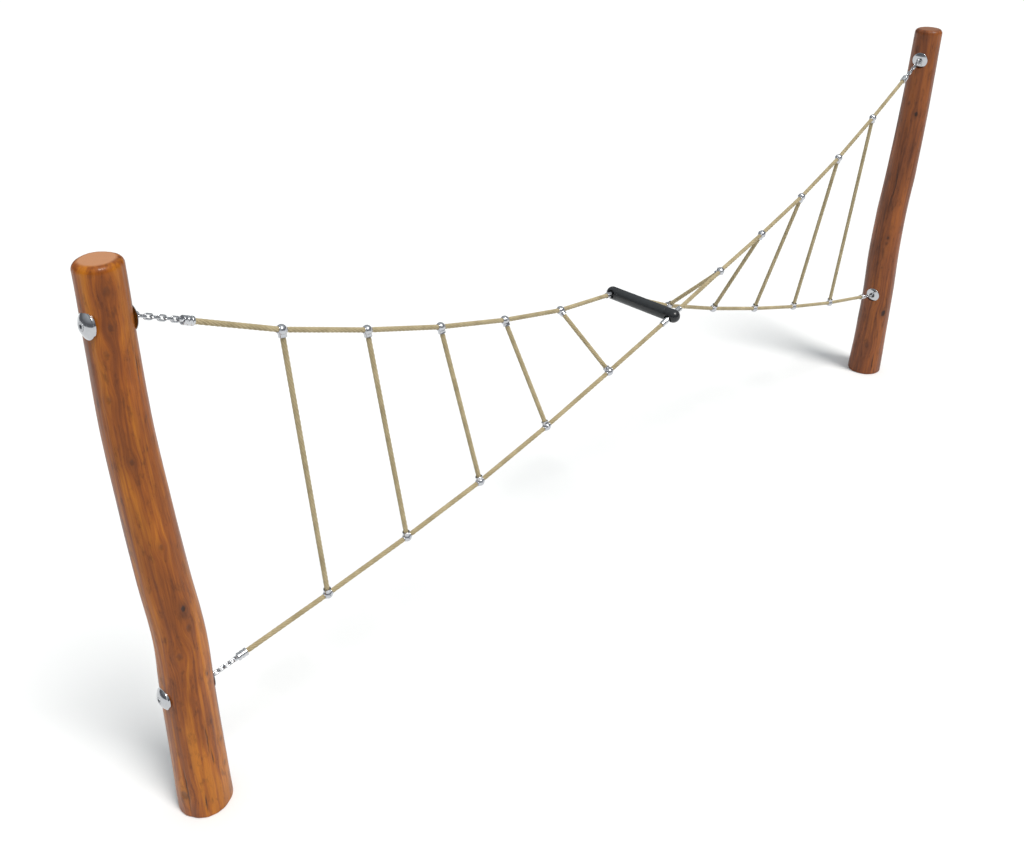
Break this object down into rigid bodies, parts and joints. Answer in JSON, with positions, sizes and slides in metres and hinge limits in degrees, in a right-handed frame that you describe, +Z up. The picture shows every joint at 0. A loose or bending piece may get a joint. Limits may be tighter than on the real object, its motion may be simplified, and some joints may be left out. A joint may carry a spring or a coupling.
{
  "type": "rope climbing traverse",
  "caption": "Twisted rope ladder strung sideways between two crooked round timber posts, with rope rungs, a dark round step bar at mid-span and short chains at its corners.",
  "frame": {"origin": "on the ground, midway between the two posts", "axes": "+X from the middle to the right post, +Y to the back, +Z up"},
  "size_m": [4.912, 0.4, 2.086],
  "materials": {
    "stained_wood": "peeled round robinia with an orange-brown stain, satin",
    "dome_steel": "pressed stainless steel, polished",
    "bolt_steel": "forged stainless steel",
    "chain_steel": "welded stainless steel short-link chain",
    "clamp_steel": "pressed aluminium, bright",
    "rope": "laid hemp-coloured polyester rope",
    "step_coat": "satin black powder coat",
    "step_cap_black": "satin black moulded plastic"
  },
  "bodies": {
    "posts": {"anchor_nuts": "bolt_steel", "left_bottom_eye_bolt": "bolt_steel", "left_bottom_inner_dome": "dome_steel", "left_bottom_outer_dome": "dome_steel", "left_post": "stained_wood", "left_top_eye_bolt": "bolt_steel", "left_top_inner_dome": "dome_steel", "left_top_outer_dome": "dome_steel", "right_bottom_eye_bolt": "bolt_steel", "right_bottom_inner_dome": "dome_steel", "right_bottom_outer_dome": "dome_steel", "right_post": "stained_wood", "right_top_eye_bolt": "bolt_steel", "right_top_inner_dome": "dome_steel", "right_top_outer_dome": "dome_steel"},
    "left_swing_links": {"upper_left_swing_link": "chain_steel", "lower_left_swing_link": "chain_steel"},
    "right_swing_links": {"upper_right_swing_link": "chain_steel", "lower_right_swing_link": "chain_steel"},
    "upper_left_rope": {"upper_left_chain": "chain_steel", "upper_left_end_ferrule": "clamp_steel", "upper_left_rope": "rope", "upper_left_clamp_fronts": "clamp_steel", "upper_left_clamp_backs": "clamp_steel", "upper_left_step_ferrule": "clamp_steel"},
    "lower_left_rope": {"lower_left_chain": "chain_steel", "lower_left_end_ferrule": "clamp_steel", "lower_left_rope": "rope", "lower_left_clamp_fronts": "clamp_steel", "lower_left_clamp_backs": "clamp_steel", "lower_left_step_ferrule": "clamp_steel"},
    "upper_right_rope": {"upper_right_chain": "chain_steel", "upper_right_end_ferrule": "clamp_steel", "upper_right_rope": "rope", "upper_right_clamp_fronts": "clamp_steel", "upper_right_clamp_backs": "clamp_steel", "upper_right_step_ferrule": "clamp_steel"},
    "lower_right_rope": {"lower_right_chain": "chain_steel", "lower_right_end_ferrule": "clamp_steel", "lower_right_rope": "rope", "lower_right_clamp_fronts": "clamp_steel", "lower_right_clamp_backs": "clamp_steel", "lower_right_step_ferrule": "clamp_steel"},
    "left_rung_1": {"left_rung_1": "rope"},
    "left_rung_2": {"left_rung_2": "rope"},
    "left_rung_3": {"left_rung_3": "rope"},
    "left_rung_4": {"left_rung_4": "rope"},
    "left_rung_5": {"left_rung_5": "rope"},
    "right_rung_1": {"right_rung_1": "rope"},
    "right_rung_2": {"right_rung_2": "rope"},
    "right_rung_3": {"right_rung_3": "rope"},
    "right_rung_4": {"right_rung_4": "rope"},
    "right_rung_5": {"right_rung_5": "rope"},
    "step_pivot": {"step_pivot_pin": "bolt_steel"},
    "step": {"step_tube": "step_coat", "step_far_cap": "step_cap_black", "step_near_cap": "step_cap_black"}
  },
  "joints": [
    {"name": "net_sway", "type": "hinge", "parent": "posts", "child": "left_swing_links", "pos_m": [-2.248, 0, 1.896], "axis": [0, 0, 1], "range_deg": [-2.5, 2.5], "stiffness_Nm_per_rad": 8000},
    {"name": "right_sway", "type": "hinge", "parent": "posts", "child": "right_swing_links", "pos_m": [2.248, 0, 1.896], "axis": [0, 0, 1], "range_deg": [-2.5, 2.5]},
    {"name": "net_dip", "type": "hinge", "parent": "left_swing_links", "child": "upper_left_rope", "pos_m": [-2.23047, 0.00107, 1.88707], "axis": [0, 1, 0], "range_deg": [-1, 1], "stiffness_Nm_per_rad": 30000, "springref_deg": -0.12},
    {"name": "lower_left_dip", "type": "hinge", "parent": "left_swing_links", "child": "lower_left_rope", "pos_m": [-2.22493, -0.00116, 0.54311], "axis": [0, 1, 0], "range_deg": [-1.03, 1.03]},
    {"name": "upper_right_dip", "type": "hinge", "parent": "right_swing_links", "child": "upper_right_rope", "pos_m": [2.23047, -0.00107, 1.88707], "axis": [0, 1, 0], "range_deg": [-1.03, 1.03]},
    {"name": "lower_right_dip", "type": "hinge", "parent": "right_swing_links", "child": "lower_right_rope", "pos_m": [2.22493, 0.00116, 0.54311], "axis": [0, 1, 0], "range_deg": [-1.03, 1.03]},
    {"name": "left_rung_1_tilt", "type": "hinge", "parent": "upper_left_rope", "child": "left_rung_1", "pos_m": [-1.795, 0.025, 1.688], "axis": [-0.0002, -0.9988, 0.0482], "range_deg": [-1.3, 1.3]},
    {"name": "right_rung_1_tilt", "type": "hinge", "parent": "upper_right_rope", "child": "right_rung_1", "pos_m": [1.795, -0.025, 1.688], "axis": [0.0002, 0.9988, 0.0482], "range_deg": [-1.3, 1.3]},
    {"name": "left_rung_2_tilt", "type": "hinge", "parent": "upper_left_rope", "child": "left_rung_2", "pos_m": [-1.449, 0.053, 1.558], "axis": [-0.0005, -0.9922, 0.1246], "range_deg": [-1.62, 1.62]},
    {"name": "right_rung_2_tilt", "type": "hinge", "parent": "upper_right_rope", "child": "right_rung_2", "pos_m": [1.449, -0.053, 1.558], "axis": [0.0005, 0.9922, 0.1246], "range_deg": [-1.62, 1.62]},
    {"name": "left_rung_3_tilt", "type": "hinge", "parent": "upper_left_rope", "child": "left_rung_3", "pos_m": [-1.103, 0.074, 1.444], "axis": [-0.001, -0.9718, 0.236], "range_deg": [-2.1, 2.1]},
    {"name": "right_rung_3_tilt", "type": "hinge", "parent": "upper_right_rope", "child": "right_rung_3", "pos_m": [1.103, -0.074, 1.444], "axis": [0.001, 0.9718, 0.236], "range_deg": [-2.1, 2.1]},
    {"name": "left_rung_4_tilt", "type": "hinge", "parent": "upper_left_rope", "child": "left_rung_4", "pos_m": [-0.757, 0.091, 1.35], "axis": [-0.0017, -0.9148, 0.404], "range_deg": [-2.89, 2.89]},
    {"name": "right_rung_4_tilt", "type": "hinge", "parent": "upper_right_rope", "child": "right_rung_4", "pos_m": [0.757, -0.091, 1.35], "axis": [0.0017, 0.9148, 0.404], "range_deg": [-2.89, 2.89]},
    {"name": "left_rung_5_tilt", "type": "hinge", "parent": "upper_left_rope", "child": "left_rung_5", "pos_m": [-0.411, 0.112, 1.272], "axis": [-0.003, -0.7029, 0.7113], "range_deg": [-4.1, 4.1]},
    {"name": "right_rung_5_tilt", "type": "hinge", "parent": "upper_right_rope", "child": "right_rung_5", "pos_m": [0.411, -0.112, 1.272], "axis": [0.003, 0.7029, 0.7113], "range_deg": [-4.1, 4.1]},
    {"name": "step_sway", "type": "hinge", "parent": "upper_left_rope", "child": "step_pivot", "pos_m": [0, 0, 1.204], "axis": [0, 0, 1], "range_deg": [-2.55, 2.55]},
    {"name": "step_turn", "type": "hinge", "parent": "step_pivot", "child": "step", "pos_m": [0, 0.1635, 1.204], "axis": [0, -0.2364, 0.9717], "range_deg": [-4.32, 4.32]}
  ],
  "couplings": [
    {"joint": "right_sway", "follows": "net_sway", "ratio": -1},
    {"joint": "lower_left_dip", "follows": "net_dip", "ratio": 1},
    {"joint": "upper_right_dip", "follows": "net_dip", "ratio": -1},
    {"joint": "lower_right_dip", "follows": "net_dip", "ratio": -1},
    {"joint": "left_rung_1_tilt", "follows": "net_dip", "ratio": 1.2696},
    {"joint": "right_rung_1_tilt", "follows": "net_dip", "ratio": 1.2696},
    {"joint": "left_rung_2_tilt", "follows": "net_dip", "ratio": 1.5781},
    {"joint": "right_rung_2_tilt", "follows": "net_dip", "ratio": 1.5781},
    {"joint": "left_rung_3_tilt", "follows": "net_dip", "ratio": 2.0523},
    {"joint": "right_rung_3_tilt", "follows": "net_dip", "ratio": 2.0523},
    {"joint": "left_rung_4_tilt", "follows": "net_dip", "ratio": 2.8268},
    {"joint": "right_rung_4_tilt", "follows": "net_dip", "ratio": 2.8268},
    {"joint": "left_rung_5_tilt", "follows": "net_dip", "ratio": 4.0135},
    {"joint": "right_rung_5_tilt", "follows": "net_dip", "ratio": 4.0135},
    {"joint": "step_sway", "follows": "net_sway", "ratio": -1},
    {"joint": "step_turn", "follows": "net_dip", "ratio": 4.2299}
  ]
}
